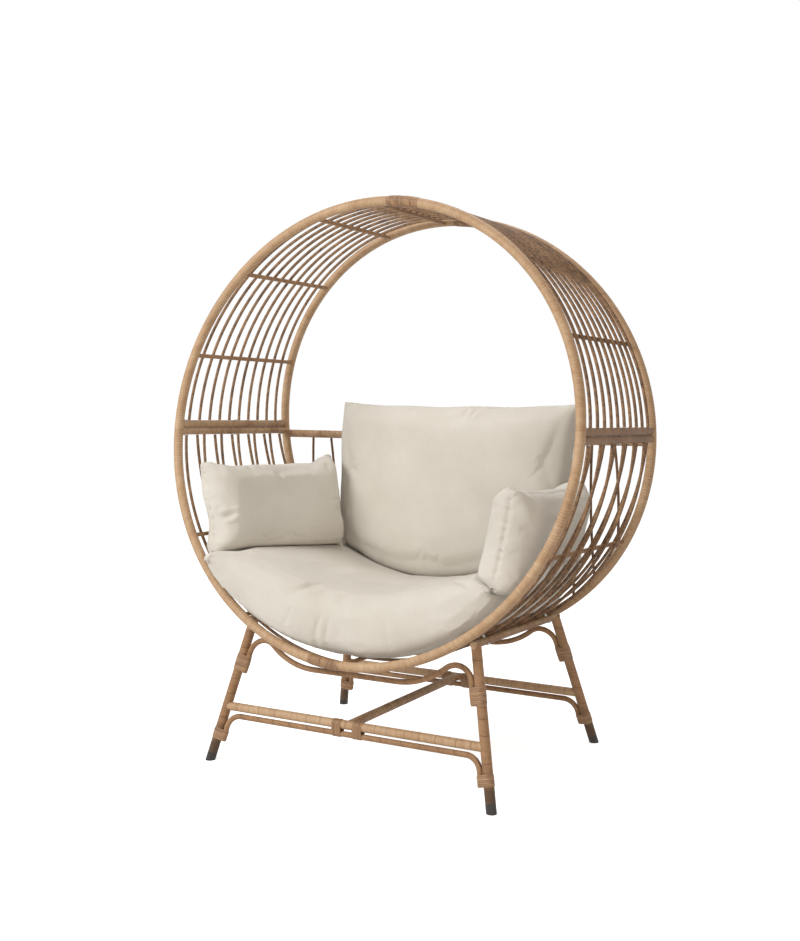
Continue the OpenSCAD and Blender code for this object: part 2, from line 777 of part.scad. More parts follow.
// Height of the seat cushion's hollow top at distance x from the middle
seat_hollow = from_drum(seat_top_middle * [sin(seat_slide), 0, cos(seat_slide)]);
function seat_height(x) = seat_hollow.z - sqrt(seat_top_r ^ 2 - (x - seat_hollow.x) ^ 2);

// Height of the back cushion's lower edge over that, and how much narrower the cushion
// is there than at its top
back_foot_gap = -3.8;
back_taper = 0.08;
// How far the back cushion's top edge hangs down in the middle
back_top_dip = 10;

// The back cushion stands on the seat cushion, so that its lower edge follows the hollow
module back_cushion() {
    point = function (u, v, skin)
        let (
            w = back_w * (1 - back_taper * (1 - v) / 2) * (1 - draw_in / 2 * (1 - v ^ 2)),
            x = back_shift + u * w / 2,
            low = seat_height(x) + back_foot_gap,
            high = back_top - back_top_dip * (1 - u ^ 2),
            z = low + (v + 1) / 2 * (high - low),
            full = fullness(u, v, 8, 6)
        )
        [x, back_y(z) - skin * back_t / 2 * full, z];
    color(cloth_colour) cushion(24, 18, point);
}

// A side pillow stands on the end of the seat cushion and leans against the drum
module side_pillow(toe) {
    point = function (u, v, skin)
        [
            skin * pillow_t / 2 * fullness(u, v, 12, 6),
            u * pillow_l / 2 * (1 - draw_in / 2 * (1 - v ^ 2)),
            v * pillow_h / 2 * (1 - draw_in * (1 - u ^ 2))
        ];
    color(cloth_colour) rotate([0, 0, toe]) rotate([0, pillow_lean, 0]) cushion(20, 14, point);
}

// Middle of the seat cushion's seam at its left or right end
function seat_end(side) =
    let (a = side * seat_half_arc - seat_slide)
    from_drum([seat_seam_r * sin(a), 0, -seat_seam_r * cos(a)]);

// Half the height of a leaning side pillow
pillow_rise = pillow_h / 2 * cos(pillow_lean) + pillow_t / 2 * sin(pillow_lean);

// Places of the side pillows against the ends of the seat cushion: across, forward, and how far
// the lowest point of a boxy pillow would lie below the seam. Only the left one is toed in.
left_pillow_offset = [17, -95.7, -2];
left_pillow_toe = 20;
right_pillow_offset = [37.8, -80.9, -6.3];

module left_pillow() {
    translate(seat_end(LEFT) + left_pillow_offset + [0, 0, pillow_rise])
        mirror([1, 0, 0]) side_pillow(left_pillow_toe);
}

module right_pillow() {
    translate(seat_end(RIGHT) + right_pillow_offset + [0, 0, pillow_rise]) side_pillow(0);
}

// ---- The chair ----

half_hoop(FRONT, 0);  // upper_front_hoop
half_hoop(REAR, 0);  // upper_rear_hoop
side_rail(LEFT, 1);  // upper_left_rail
side_rail(RIGHT, 1);  // upper_right_rail
upper_crossbars();
for (k = [1:upper_slats])
    upper_slat(k);
half_hoop(FRONT, 180);  // lower_front_hoop
half_hoop(REAR, 180);  // lower_rear_hoop
side_rail(LEFT, -1);  // lower_left_rail
side_rail(RIGHT, -1);  // lower_right_rail
lower_crossbars();
for (k = [1:lower_slats])
    lower_slat(k);
back_rail();
back_slats();
bearer(LEFT);  // left_bearer
bearer(RIGHT);  // right_bearer
leg(LEFT, FRONT);  // front_left_leg
leg(RIGHT, FRONT);  // front_right_leg
leg(LEFT, REAR);  // rear_left_leg
leg(RIGHT, REAR);  // rear_right_leg
foot_glides();
stretcher(FRONT);  // front_stretcher
stretcher(REAR);  // rear_stretcher
centre_stretcher();
low_rod(FRONT);  // front_low_rod
low_rod(REAR);  // rear_low_rod
cradle_rod(FRONT);  // front_cradle_rod
cradle_rod(REAR);  // rear_cradle_rod
rail_bolts();
bearer_bolts();
nuts();
leg_screws();
hoop_bindings();
leg_bindings();
stretcher_bindings();
seat_cushion();
back_cushion();
left_pillow();
right_pillow();
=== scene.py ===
"""Round egg chair on four legs: the looks of its canes, bindings and canvas cushions, laid round
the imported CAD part."""

import math
from collections import namedtuple

import bpy
import numpy as np
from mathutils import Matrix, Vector
from mathutils.bvhtree import BVHTree
from mathutils.kdtree import KDTree


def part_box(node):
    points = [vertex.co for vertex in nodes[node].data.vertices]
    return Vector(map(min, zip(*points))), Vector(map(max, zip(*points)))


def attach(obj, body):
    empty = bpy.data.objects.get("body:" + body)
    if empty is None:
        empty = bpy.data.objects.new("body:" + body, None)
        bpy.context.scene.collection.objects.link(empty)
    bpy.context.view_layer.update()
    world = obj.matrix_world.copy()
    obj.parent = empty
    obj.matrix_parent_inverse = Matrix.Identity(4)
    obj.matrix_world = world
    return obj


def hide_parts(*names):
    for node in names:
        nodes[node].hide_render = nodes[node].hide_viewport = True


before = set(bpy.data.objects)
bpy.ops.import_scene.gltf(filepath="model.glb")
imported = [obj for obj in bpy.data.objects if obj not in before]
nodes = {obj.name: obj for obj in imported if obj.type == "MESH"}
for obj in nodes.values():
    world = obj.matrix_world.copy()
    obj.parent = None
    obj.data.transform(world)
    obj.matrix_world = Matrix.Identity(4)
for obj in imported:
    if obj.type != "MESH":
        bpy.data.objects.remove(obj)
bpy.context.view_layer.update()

# The drum's middle and hoops, as in the CAD source, in metres
AXIS = Vector((0, 0.020, 0.957))
RECLINE = math.radians(1.6)
HOOP_TILT = math.radians(6.6)
HOOP_R = 0.645
HALF_DEPTH = 0.2775
LEFT, RIGHT = -1, 1
FRONT, REAR = -1, 1


# ---- Helpers ----


def mesh_object(name, points, faces):
    mesh = bpy.data.meshes.new(name)
    mesh.from_pydata([tuple(p) for p in points], [], faces)
    mesh.shade_smooth()
    made = bpy.data.objects.new(name, mesh)
    bpy.context.scene.collection.objects.link(made)
    return made


class Nodes:
    """Builds the nodes of a material or world: add() makes a node, and links or sets its inputs."""

    def __init__(self, tree):
        self.tree = tree
        tree.nodes.clear()

    def add(self, kind, inputs=None, **settings):
        node = self.tree.nodes.new(kind)
        for name, value in settings.items():
            setattr(node, name, value)
        for name, value in (inputs or {}).items():
            socket = node.inputs[name]
            if isinstance(value, bpy.types.NodeSocket):
                self.tree.links.new(value, socket)
            else:
                socket.default_value = value
        return node

    def math(self, operation, a, b=0.0, clamp=False):
        return self.add(
            "ShaderNodeMath", {0: a, 1: b}, operation=operation, use_clamp=clamp
        ).outputs[0]

    def dot(self, vector, direction):
        return self.add(
            "ShaderNodeVectorMath", {0: vector, 1: direction}, operation="DOT_PRODUCT"
        ).outputs["Value"]

    def vector(self, x, y, z):
        return self.add("ShaderNodeCombineXYZ", {0: x, 1: y, 2: z}).outputs[0]

    def noise(self, vector, scale, detail=3.0, roughness=0.55):
        return self.add(
            "ShaderNodeTexNoise",
            {"Vector": vector, "Scale": scale, "Detail": detail, "Roughness": roughness},
        ).outputs[0]

    def ramp(self, factor, *stops):
        """Ramp of colours through (place, colour) stops, where a number stands for a grey."""
        node = self.add("ShaderNodeValToRGB", {0: factor})
        elements = node.color_ramp.elements
        while len(elements) < len(stops):
            elements.new(0.5)
        for element, (place, colour) in zip(elements, stops):
            element.position = place
            grey = isinstance(colour, (int, float))
            element.color = (*((colour,) * 3 if grey else colour), 1)
        return node.outputs[0]

    def mix(self, factor, a, b, blend="MIX"):
        """Blends colour a into colour b by a factor."""
        opaque = [c if isinstance(c, bpy.types.NodeSocket) else (*c, 1) for c in (a, b)]
        # The colour inputs of a mix node are its inputs 6 and 7, and the colour is its output 2
        inputs = {0: factor, 6: opaque[0], 7: opaque[1]}
        node = self.add("ShaderNodeMix", inputs, data_type="RGBA", blend_type=blend)
        return node.outputs[2]

    def bump(self, height, distance, strength):
        inputs = {"Height": height, "Distance": distance, "Strength": strength}
        return self.add("ShaderNodeBump", inputs).outputs[0]

    def surface(self, **sockets):
        """Principled shader whose sockets are given with _ for each space, joined to the output."""
        inputs = {name.replace("_", " "): value for name, value in sockets.items()}
        shader = self.add("ShaderNodeBsdfPrincipled", inputs)
        self.add("ShaderNodeOutputMaterial", {"Surface": shader.outputs[0]})


def srgb(red, green, blue):
    """Linear colour of an sRGB colour given in 0 to 255."""
    return tuple(((c / 255 + 0.055) / 1.055) ** 2.4 for c in (red, green, blue))


def new_material(name):
    material = bpy.data.materials.new(name)
    material.use_nodes = True
    return material, Nodes(material.node_tree)


# ---- Cane ----

RING = "ring"  # a cane that runs round the drum, instead of along a direction
PALE_CANE = srgb(200, 170, 136)
TAN_CANE = srgb(170, 133, 97)
BROWN_CANE = srgb(136, 99, 66)
DEEP_CANE = srgb(88, 64, 45)
# Colour that the cane darkens to towards the floor
DARK_FOOT_COLOUR = srgb(74, 54, 38)
OUTWARD_SHADE_TINT = (0.42, 0.31, 0.21)  # painted shade: what the colour is multiplied by on the cane's faces that look out of the drum
KNUCKLES_PER_METRE = 4.2
RELIEF_HEIGHT = 0.0009


def along_cane(n, position, run):
    """Distance along the cane: round the drum's axis, or along a direction."""
    if run != RING:
        return n.dot(position, run)
    part = n.add("ShaderNodeSeparateXYZ", {0: position}).outputs
    height = n.math("SUBTRACT", part[2], AXIS.z)
    return n.math("MULTIPLY", n.math("ARCTAN2", height, part[0]), HOOP_R)


def outside(n, position):
    """1 where a surface of the drum faces away from the drum's axis, 0 where it faces inwards."""
    normal = n.add("ShaderNodeNewGeometry").outputs["Normal"]
    part = n.add("ShaderNodeSeparateXYZ", {0: position}).outputs
    height = n.math("SUBTRACT", part[2], AXIS.z)
    return n.ramp(n.dot(normal, n.vector(part[0], 0, height)), (0.0, 0.0), (0.5, 1.0))


def shaded(colour, share):
    return tuple(channel * share for channel in colour)


def halfway(one, other):
    return tuple((a + b) / 2 for a, b in zip(one, other))


def cane_material(
    name, run, pale, dark, wraps=0.0, wrap_pitch=0.007, rings=1.0, dark_foot=False, outward_shade=0.0
):
    """Peeled rattan: fibres and blotches along the cane, growth rings across it, and the fine
    lines of a wound skin where wraps is above 0. dark_foot darkens the cane towards the floor,
    and the last argument paints shade on what faces out of the drum."""
    material, n = new_material(name)
    position = n.add("ShaderNodeNewGeometry").outputs["Position"]
    object_random = n.add("ShaderNodeObjectInfo").outputs["Random"]
    along = along_cane(n, position, run)
    place = n.math("ADD", along, n.math("MULTIPLY", object_random, 3.0))
    # Shifted by a place of the node's own, so that no two canes match
    shifted = n.add(
        "ShaderNodeVectorMath", {0: position, 1: n.vector(place, place, place)}, operation="ADD"
    ).outputs[0]
    streaks = n.noise(shifted, scale=34, detail=4, roughness=0.6)
    blotch = n.noise(n.vector(place, object_random, 0), scale=9, detail=3)
    # Fine fibres: quick to change across the cane, slow along it
    drawn_out = n.vector(n.math("MULTIPLY", place, 0.15), n.dot(position, (1, 0.7, 0.4)),
                         n.dot(position, (-0.5, 0.8, 0.9)))
    fine = n.noise(drawn_out, scale=420, detail=2)
    knuckles = n.add(
        "ShaderNodeTexVoronoi", {"W": n.math("MULTIPLY", place, KNUCKLES_PER_METRE)},
        voronoi_dimensions="1D", feature="DISTANCE_TO_EDGE",
    ).outputs["Distance"]
    ring = n.math("MULTIPLY", n.ramp(knuckles, (0.0, 1.0), (0.012, 0.75), (0.03, 0.0)), rings)

    shade = n.math("ADD", n.math("MULTIPLY", streaks, 0.55), n.math("MULTIPLY", blotch, 0.45))
    colour = n.ramp(shade, (0.34, dark), (0.5, halfway(pale, dark)), (0.66, pale))
    fibres = n.math("MULTIPLY", n.math("SUBTRACT", fine, 0.42, True), 1.1)
    colour = n.mix(fibres, colour, shaded(dark, 0.45))
    colour = n.mix(n.math("MULTIPLY", ring, 0.75), colour, shaded(dark, 0.4))
    height = n.math("ADD", n.math("MULTIPLY", fine, 0.35), n.math("MULTIPLY", ring, 0.9))

    if wraps:
        wave = n.add("ShaderNodeMath", {0: place, 1: wrap_pitch}, operation="PINGPONG").outputs[0]
        groove = n.ramp(n.math("DIVIDE", wave, wrap_pitch), (0.0, 1.0), (0.2, 0.15), (0.4, 0.0))
        patches = n.noise(n.vector(place, 0, 3), scale=5, detail=1)
        where = n.ramp(patches, (0.45, 0.25), (0.62, 1.0))
        wound = n.math("MULTIPLY", n.math("MULTIPLY", groove, where), wraps)
        colour = n.mix(wound, colour, shaded(dark, 0.35))
        height = n.math("SUBTRACT", height, n.math("MULTIPLY", wound, 1.4))
    # The cane darkens towards the floor
    if dark_foot:
        z = n.add("ShaderNodeSeparateXYZ", {0: position}).outputs[2]
        wander = n.math("MULTIPLY", n.math("SUBTRACT", streaks, 0.5), 0.05)
        foot = n.ramp(n.math("ADD", z, wander), (0.05, 0.95), (0.125, 0.0))
        colour = n.mix(foot, colour, DARK_FOOT_COLOUR)
    # Painted shade: the cane's faces that look out of the drum are darkened
    if outward_shade:
        where = n.math("MULTIPLY", outside(n, position), outward_shade)
        colour = n.mix(where, colour, OUTWARD_SHADE_TINT, "MULTIPLY")
    n.surface(
        Base_Color=colour,
        Roughness=n.math("ADD", n.math("MULTIPLY", streaks, 0.25), 0.44),
        Specular_IOR_Level=0.35,
        Normal=n.bump(height, RELIEF_HEIGHT, 0.8),
    )
    return material


def dress_frame():
    """Gives every rigid CAD node the material of its cane, with the grain along it."""
    across, deep, up = (1, 0, 0), (0, 1, 0), (0, 0, 1)
    # The last share given to a cane is painted shade on its faces that look out of the drum
    hoop = cane_material("hoop_cane", RING, PALE_CANE, TAN_CANE, wraps=0.5, wrap_pitch=0.0042,
                         rings=0.2, outward_shade=0.25)
    slat = cane_material("slat_cane", RING, TAN_CANE, DEEP_CANE, outward_shade=0.6)
    bar = cane_material("bar_cane", deep, TAN_CANE, BROWN_CANE, wraps=0.7, wrap_pitch=0.005,
                        outward_shade=0.6)
    rail = cane_material("rail_cane", deep, PALE_CANE, BROWN_CANE, wraps=0.3, rings=0.5,
                         outward_shade=0.8)
    rail_across = cane_material("rail_across", across, PALE_CANE, BROWN_CANE, rings=0.6)
    panel = cane_material("panel_cane", up, BROWN_CANE, DEEP_CANE)
    leg = cane_material("leg_cane", up, TAN_CANE, BROWN_CANE, dark_foot=True)
    stretcher = cane_material("stretcher_cane", across, PALE_CANE, TAN_CANE)
    rod = cane_material("rod_cane", (0.8, 0, 0.6), TAN_CANE, BROWN_CANE)
    steel = steel_material()
    glide = glide_material()
    chosen = {
        "back_rail": rail_across, "back_slats": panel, "foot_glides": glide,
        "upper_crossbars": bar, "lower_crossbars": bar, "centre_stretcher": rail,
    }
    by_word = [
        ("bolts", steel), ("nuts", steel), ("screws", steel),
        ("hoop", hoop), ("_slat_", slat), ("bearer", rail), ("_leg", leg),
        ("stretcher", stretcher), ("rod", rod), ("rail", rail),
    ]
    for name, node in nodes.items():
        if name in SOFT or name.endswith("bindings"):
            continue
        material = chosen.get(name) or next(m for word, m in by_word if word in name)
        node.data.materials.clear()
        node.data.materials.append(material)


def steel_material():
    """Zinc-plated bolts, nuts and screws, slightly stained."""
    material, n = new_material("plated_steel")
    position = n.add("ShaderNodeNewGeometry").outputs["Position"]
    grain = n.noise(position, scale=900, detail=3)
    stain = n.noise(position, scale=160, detail=2)
    n.surface(
        Base_Color=n.ramp(stain, (0.35, srgb(150, 148, 142)), (0.7, srgb(196, 196, 194))),
        Metallic=1.0,
        Roughness=n.math("ADD", n.math("MULTIPLY", grain, 0.2), 0.28),
        Normal=n.bump(grain, 0.0002, 0.4),
    )
    return material


def glide_material():
    """Dark, pebbled plastic of the foot glides, scuffed."""
    material, n = new_material("foot_plastic")
    position = n.add("ShaderNodeNewGeometry").outputs["Position"]
    pebble = n.noise(position, scale=1400, detail=2)
    scuff = n.noise(position, scale=120, detail=4)
    n.surface(
        Base_Color=n.ramp(scuff, (0.4, srgb(28, 24, 22)), (0.75, srgb(58, 50, 45))),
        Roughness=n.math("ADD", n.math("MULTIPLY", scuff, 0.3), 0.45),
        Normal=n.bump(pebble, 0.0003, 0.5),
    )
    return material


# ---- Bindings of wound cane ----


def binding_material():
    """Split cane, wound: the uv map's v runs along the strip's turns."""
    material, n = new_material("wound_cane")
    uv = n.add("ShaderNodeUVMap", uv_map="turns").outputs[0]
    part = n.add("ShaderNodeSeparateXYZ", {0: uv}).outputs
    turn = n.math("FLOOR", part[1])
    across = n.math("ABSOLUTE", n.math("SUBTRACT", n.math("FRACT", part[1]), 0.5))
    tone = n.noise(n.vector(turn, n.math("MULTIPLY", part[0], 1.4), 0), scale=1.7, detail=2)
    drawn_out = n.vector(n.math("MULTIPLY", part[0], 3), n.math("MULTIPLY", part[1], 60), 0)
    fibre = n.noise(drawn_out, scale=1, detail=2)
    colour = n.ramp(tone, (0.3, srgb(112, 80, 52)), (0.7, srgb(172, 134, 96)))
    colour = n.mix(n.ramp(across, (0.36, 0.0), (0.5, 0.85)), colour, srgb(60, 40, 26))
    n.surface(
        Base_Color=colour,
        Roughness=n.math("ADD", n.math("MULTIPLY", fibre, 0.2), 0.42),
        Normal=n.bump(fibre, 0.0003, 0.6),
    )
    return material


WRAP_T = 0.002  # thickness of the strip
SLEEVE_ROW = 0.0007
SLEEVE_COLUMNS = 56
HOOP_STRIP_W = 0.0058
PAIR_STRIP_W = 0.005
BINDING_ARC = 9  # degrees of the hoop under one binding
TOP_BINDING, LOW_BINDING = 78, -100  # where they start, in degrees from the right


def wound_sleeve(place, length, pitch, start):
    """Grid of a sleeve of strip, wound at a pitch. place(s, phi, lift) gives the point at distance
    s along the sleeve and turn phi around it, lifted off the canes by lift. start is the winding's
    turn at its first end, so that no two sleeves match."""
    rows, columns = max(12, int(length / SLEEVE_ROW)), SLEEVE_COLUMNS
    points, uvs = [], []
    for i in range(rows + 1):
        s = length * i / rows
        for j in range(columns):
            turn = start + s / pitch - j / columns
            side = 2 * (turn % 1) - 1  # from -1 to 1 across the strip
            ridge = math.sqrt(max(0.0, 1 - side**2 * 0.9))
            slack = 0.12 * math.sin(5.3 * math.floor(turn) + start)  # no two turns are as tight
            edge = min(1.0, 6 * min(i, rows - i) / rows + 0.15)  # the sleeve's ends are thin
            lift = WRAP_T * ridge * (0.86 + slack) * edge
            points.append(place(s, 2 * math.pi * j / columns, lift))
    faces = []
    for i in range(rows):
        for j in range(columns):
            k = (j + 1) % columns
            row, above = i * columns, (i + 1) * columns
            faces.append((row + j, row + k, above + k, above + j))
            for a, b in ((i, j), (i, j + 1), (i + 1, j + 1), (i + 1, j)):
                s = length * a / rows
                uvs.append((b / columns, start + s / pitch - b / columns))
    return points, faces, uvs


def sleeve_object(name, sleeves, cad_node, material):
    """One object of several sleeves that stands for their CAD node."""
    points, faces, uvs = [], [], []
    for some_points, some_faces, some_uvs in sleeves:
        base = len(points)
        points += some_points
        faces += [tuple(base + v for v in face) for face in some_faces]
        uvs += some_uvs
    made = mesh_object(name, points, faces)
    layer = made.data.uv_layers.new(name="turns")
    layer.data.foreach_set("uv", np.array(uvs, np.float32).ravel())
    made.data.materials.append(material)
    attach(made, "frame")
    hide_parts(cad_node)


def in_hoop_frame(u, across, deep, up):
    """Point of the plane of the hoop at depth u (FRONT to REAR), in the chair's frame."""
    tilt = math.asin(u * math.sin(HOOP_TILT))
    y = u * HALF_DEPTH + deep * math.cos(tilt) - up * math.sin(tilt)
    z = deep * math.sin(tilt) + up * math.cos(tilt)
    return AXIS + Vector((
        across,
        y * math.cos(RECLINE) + z * math.sin(RECLINE),
        z * math.cos(RECLINE) - y * math.sin(RECLINE),
    ))


HOOP_D = 0.027
FIT = 0.0002  # between a cane and the strip round it


def hoop_sleeve(u, start_degrees):
    """Wound strip round the hoop at depth u, over the binding's arc from the given angle."""
    start = math.radians(start_degrees)
    radius = HOOP_D / 2 + FIT

    def place(s, phi, lift):
        angle = start + s / HOOP_R
        out = HOOP_R + (radius + lift) * math.cos(phi)
        return in_hoop_frame(u, out * math.cos(angle), (radius + lift) * math.sin(phi),
                             out * math.sin(angle))

    return wound_sleeve(place, HOOP_R * math.radians(BINDING_ARC), HOOP_STRIP_W, start)


def pair_sleeve(origin, forward, side, d1, d2, apart, length):
    """Wound strip round two canes side by side along forward; side points to the second."""
    third = forward.cross(side)
    r1, r2 = d1 / 2 + FIT, d2 / 2 + FIT

    def place(s, phi, lift):
        # The point of the outline that faces in direction phi, on the cane that reaches further
        second = apart * math.cos(phi) + r2 > r1
        x = (apart if second else 0) + ((r2 if second else r1) + lift) * math.cos(phi)
        y = ((r2 if second else r1) + lift) * math.sin(phi)
        return origin + forward * s + side * x + third * y

    return wound_sleeve(place, length, PAIR_STRIP_W, origin.x * 40)


def vertices(name):
    return np.array([v.co for v in nodes[name].data.vertices], float)


def span(points, origin, direction):
    """Lowest and highest place of the points along a direction."""
    along = (points - np.array(origin)) @ np.array(direction)
    return along.min(), along.max()


LEG_D = 0.028
ROD_D = 0.016
STRETCHER_D = 0.025
LEG_TOP_Y = 0.267
FOOT = (0.455, 0.362)
LOW_ROD_DROP = 0.0255
BETWEEN_LEG_BINDINGS = 0.2  # a height between a leg's two bindings


def leg_sleeves():
    """The bindings that hold the rods' tails to the legs, placed by their CAD solids."""
    points = vertices("leg_bindings")
    made = []
    for bearer, side in (("left_bearer", LEFT), ("right_bearer", RIGHT)):
        low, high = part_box(bearer)
        middle = (low + high) / 2
        for end in (FRONT, REAR):
            foot = Vector((side * FOOT[0], end * FOOT[1], 0))
            rise = (middle.y - end * LEG_TOP_Y) * math.tan(RECLINE)
            top = Vector((middle.x, end * LEG_TOP_Y, middle.z + rise))
            along = (top - foot).normalized()
            inwards = Vector((-side, 0, 0))
            inwards = (inwards - along * inwards.dot(along)).normalized()
            near = points[(points[:, 0] * side > 0) & (points[:, 1] * end > 0)]
            low_ones = near[:, 2] < BETWEEN_LEG_BINDINGS
            for group in (near[low_ones], near[~low_ones]):
                start, stop = span(group, foot, along)
                made.append(pair_sleeve(foot + along * start, along, inwards, LEG_D, ROD_D,
                                        (LEG_D + ROD_D) / 2 + FIT, stop - start))
    return made


def stretcher_sleeves():
    """The bindings that hold the low rods under the stretchers, placed by their CAD solids."""
    points = vertices("stretcher_bindings")
    made = []
    for name, end in (("front_stretcher", FRONT), ("rear_stretcher", REAR)):
        low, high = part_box(name)
        middle = (low + high) / 2
        lean = math.atan2(FOOT[1] - LEG_TOP_Y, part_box("left_bearer")[1].z)
        down = Vector((0, end * math.sin(lean), -math.cos(lean)))
        for half in (LEFT, RIGHT):
            group = points[(points[:, 1] * end > 0) & (points[:, 0] * half > 0)]
            start, stop = span(group, (0, 0, 0), (1, 0, 0))
            made.append(pair_sleeve(Vector((start, middle.y, middle.z)), Vector((1, 0, 0)), down,
                                    STRETCHER_D, ROD_D, LOW_ROD_DROP, stop - start))
    return made


def make_bindings():
    wound = binding_material()
    hoops = [hoop_sleeve(FRONT, TOP_BINDING), hoop_sleeve(REAR, TOP_BINDING),
             hoop_sleeve(FRONT, LOW_BINDING)]
    sleeve_object("hoop_windings", hoops, "hoop_bindings", wound)
    sleeve_object("leg_windings", leg_sleeves(), "leg_bindings", wound)
    sleeve_object("stretcher_windings", stretcher_sleeves(), "stretcher_bindings", wound)


# ---- Canvas ----


THREAD_PITCH = 0.0012
WEAVE_DEPTH = 0.00025


def canvas_material():
    """Undyed cotton canvas: a plain weave along the uv map, with slubs and faint soiling."""
    material, n = new_material("cream_canvas")
    uv = n.add("ShaderNodeUVMap", uv_map="cloth").outputs[0]
    part = n.add("ShaderNodeSeparateXYZ", {0: uv}).outputs
    position = n.add("ShaderNodeNewGeometry").outputs["Position"]
    half_turn = math.pi / THREAD_PITCH

    def thread(along, across, seed):
        """Rounded threads, uneven along their length."""
        count = n.math("DIVIDE", across, THREAD_PITCH)
        place = n.vector(n.math("MULTIPLY", along, 30), count, seed)
        slub = n.noise(place, scale=1, detail=1)
        wave = n.math("SINE", n.math("MULTIPLY", across, 2 * half_turn))
        return n.math("MULTIPLY", n.math("ADD", wave, 1), n.math("ADD", slub, 0.2))

    warp = thread(part[1], part[0], 1.5)
    weft = thread(part[0], part[1], 8.5)
    over = n.math("MULTIPLY", n.math("SINE", n.math("MULTIPLY", part[0], half_turn)),
                  n.math("SINE", n.math("MULTIPLY", part[1], half_turn)))
    weave = n.math("ADD", n.math("MULTIPLY", warp, n.math("ADD", over, 1)),
                   n.math("MULTIPLY", weft, n.math("SUBTRACT", 1, over)))
    drawn_out = n.vector(n.math("MULTIPLY", part[0], 700), n.math("MULTIPLY", part[1], 45), 0)
    slubs = n.noise(drawn_out, scale=1, detail=2)
    cloud = n.noise(position, scale=5, detail=3)
    colour = n.ramp(cloud, (0.35, srgb(208, 202, 190)), (0.65, srgb(217, 212, 201)))
    thick_threads = n.math("MULTIPLY", n.math("SUBTRACT", slubs, 0.52, True), 1.2)
    colour = n.mix(thick_threads, colour, srgb(190, 181, 167))
    # Painted shade: the weave's hollows between the threads are darkened
    hollow_shade = n.math("MULTIPLY", n.math("SUBTRACT", 1.4, weave, True), 0.16)
    colour = n.mix(hollow_shade, colour, srgb(150, 138, 122))
    fuzz = n.noise(position, scale=900, detail=2)
    n.surface(
        Base_Color=colour,
        Roughness=0.92,
        Sheen_Weight=0.25,
        Sheen_Roughness=0.5,
        Normal=n.bump(n.math("ADD", weave, n.math("MULTIPLY", fuzz, 0.4)), WEAVE_DEPTH, 0.55),
    )
    return material


# ---- Cushions ----
# Each cushion is two skins that meet along an outline, with the shape of the CAD source: its
# place(u, v, skin) is a point of a skin, with u and v from -1 to 1. Skin 1 is the seat's top, the
# back cushion's front or a pillow's outer side, and skin -1 is the other one.

SOFT = ("seat_cushion", "back_cushion", "left_pillow", "right_pillow")
DRAW_IN = 0.03  # how far the middle of a side is drawn in, as a share
EDGE_POWER = 0.4  # gives the cushions their blunt, stuffed edges
CUSHION_GAP = 0.00055


def fullness(u, v, powers):
    """A cushion's thickness at u, v, as a share: 1 in the middle and 0 on the outline."""
    return ((1 - np.abs(u) ** powers[0]) * (1 - np.abs(v) ** powers[1])) ** EDGE_POWER


def from_drum(x, y, z):
    """Points in the chair's frame, from their places in the reclined drum's."""
    return np.stack([
        x,
        AXIS.y + y * math.cos(RECLINE) + z * math.sin(RECLINE),
        AXIS.z - y * math.sin(RECLINE) + z * math.cos(RECLINE),
    ], axis=-1)


SEAT_POWERS = (14, 10)
CUSHION_R = 0.6194  # radius of the seat's underside
SEAT_T = 0.166
SEAT_TOP_R = 0.640
SEAT_HALF_ARC = math.radians(48)
SEAT_SLIDE = math.radians(2)
SEAM_R = CUSHION_R - 0.045
SEAT_TOP_MIDDLE = SEAT_TOP_R - (CUSHION_R - SEAT_T)
SEAT_END_THINNING = 0.45
SEAT_FRONT_INSET, SEAT_REAR_INSET = 0.006, 0.034
SEAT_LEFT_BULGE = 0.060
SEAT_SIZE = (0.96, SEAT_T, 0.60)  # length, thickness and width, by which its mesh is spaced


def seat_place(u, v, skin):
    """The seat cushion: an arc in the drum with a shallower hollow on top, u to the right and v to
    the rear."""
    angle = SEAT_HALF_ARC * u
    top = np.sqrt(SEAT_TOP_R**2 - (SEAT_TOP_MIDDLE * np.sin(angle)) ** 2)
    top -= SEAT_TOP_MIDDLE * np.cos(angle)
    above = (SEAM_R - top) * (1 - SEAT_END_THINNING * u**6)
    r = SEAM_R - np.where(skin > 0, above, SEAM_R - CUSHION_R) * fullness(u, v, SEAT_POWERS)
    front_inset = SEAT_FRONT_INSET - SEAT_LEFT_BULGE * np.maximum(0, -u)
    inset = np.where(v > 0, SEAT_REAR_INSET, front_inset)
    half_span = HALF_DEPTH + SEAM_R * np.cos(angle) * math.sin(HOOP_TILT)
    y = v * (half_span - inset) * (1 - DRAW_IN * (1 - u**2))
    turn = angle - SEAT_SLIDE
    return from_drum(r * np.sin(turn), y, -r * np.cos(turn))


BACK_POWERS = (8, 6)
BACK_W, BACK_T, BACK_TOP, BACK_SHIFT = 0.810, 0.128, 1.036, 0.043
BACK_LEAN = math.radians(7)
BACK_TAPER = 0.08
BACK_FOOT_SINK = 0.0038
BACK_TOP_DIP = 0.010
BACK_RAIL_DROP, BACK_RAIL_D = 0.022, 0.025
BACK_SIZE = (BACK_W, BACK_T, 0.50)


